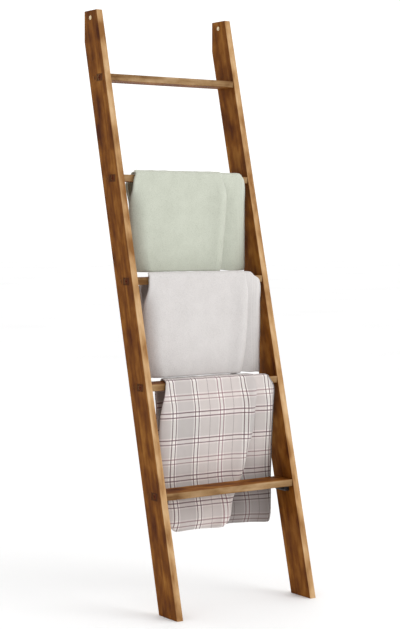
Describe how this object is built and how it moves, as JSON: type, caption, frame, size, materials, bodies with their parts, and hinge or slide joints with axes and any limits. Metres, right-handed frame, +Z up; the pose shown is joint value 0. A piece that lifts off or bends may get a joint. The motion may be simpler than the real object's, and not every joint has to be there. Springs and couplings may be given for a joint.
{
  "type": "ladder towel rack",
  "caption": "Leaning wooden ladder rack: two plank rails with level board rungs that rest on the floor and a wall, with folded towels and a plaid throw draped over the rungs.",
  "frame": {"origin": "on the floor, midway between the rails and midway between the front of the feet and the wall", "axes": "+Z up, +X to the right seen from the front, +Y towards the wall that the rack leans on"},
  "size_m": [0.468, 0.4718, 1.65],
  "materials": {
    "rail_wood": "stained and sealed, low sheen",
    "rung_wood": "stained and sealed, low sheen",
    "dowel_wood": "stained end grain",
    "bolt_steel": "black oxide, satin",
    "insert_steel": "machined",
    "screw_steel": "black zinc",
    "block_plastic": "moulded, matt",
    "green_terry": "cotton terry",
    "white_terry": "cotton terry",
    "plaid_cotton": "woven check"
  },
  "bodies": {
    "rack": {"left_rail": "rail_wood", "left_rung_bolts": "bolt_steel", "left_bolt_inserts": "insert_steel", "left_rung_dowels": "dowel_wood", "left_corner_block": "block_plastic", "left_block_screws": "screw_steel", "right_rail": "rail_wood", "right_rung_bolts": "bolt_steel", "right_bolt_inserts": "insert_steel", "right_rung_dowels": "dowel_wood", "right_corner_block": "block_plastic", "right_block_screws": "screw_steel", "bottom_rung": "rung_wood", "lower_rung": "rung_wood", "middle_rung": "rung_wood", "upper_rung": "rung_wood", "top_rung": "rung_wood"},
    "green_towel": {"green_towel": "green_terry"},
    "white_towel": {"white_towel": "white_terry"},
    "plaid_throw": {"plaid_throw": "plaid_cotton"}
  },
  "joints": [
    {"name": "green_towel_slide", "type": "slide", "parent": "rack", "child": "green_towel", "axis": [1, 0, 0], "range_m": [-0.025, 0.009]},
    {"name": "white_towel_slide", "type": "slide", "parent": "rack", "child": "white_towel", "axis": [1, 0, 0], "range_m": [-0.026, 0.004]},
    {"name": "plaid_throw_slide", "type": "slide", "parent": "rack", "child": "plaid_throw", "axis": [1, 0, 0], "range_m": [-0.029, 0.008]}
  ]
}
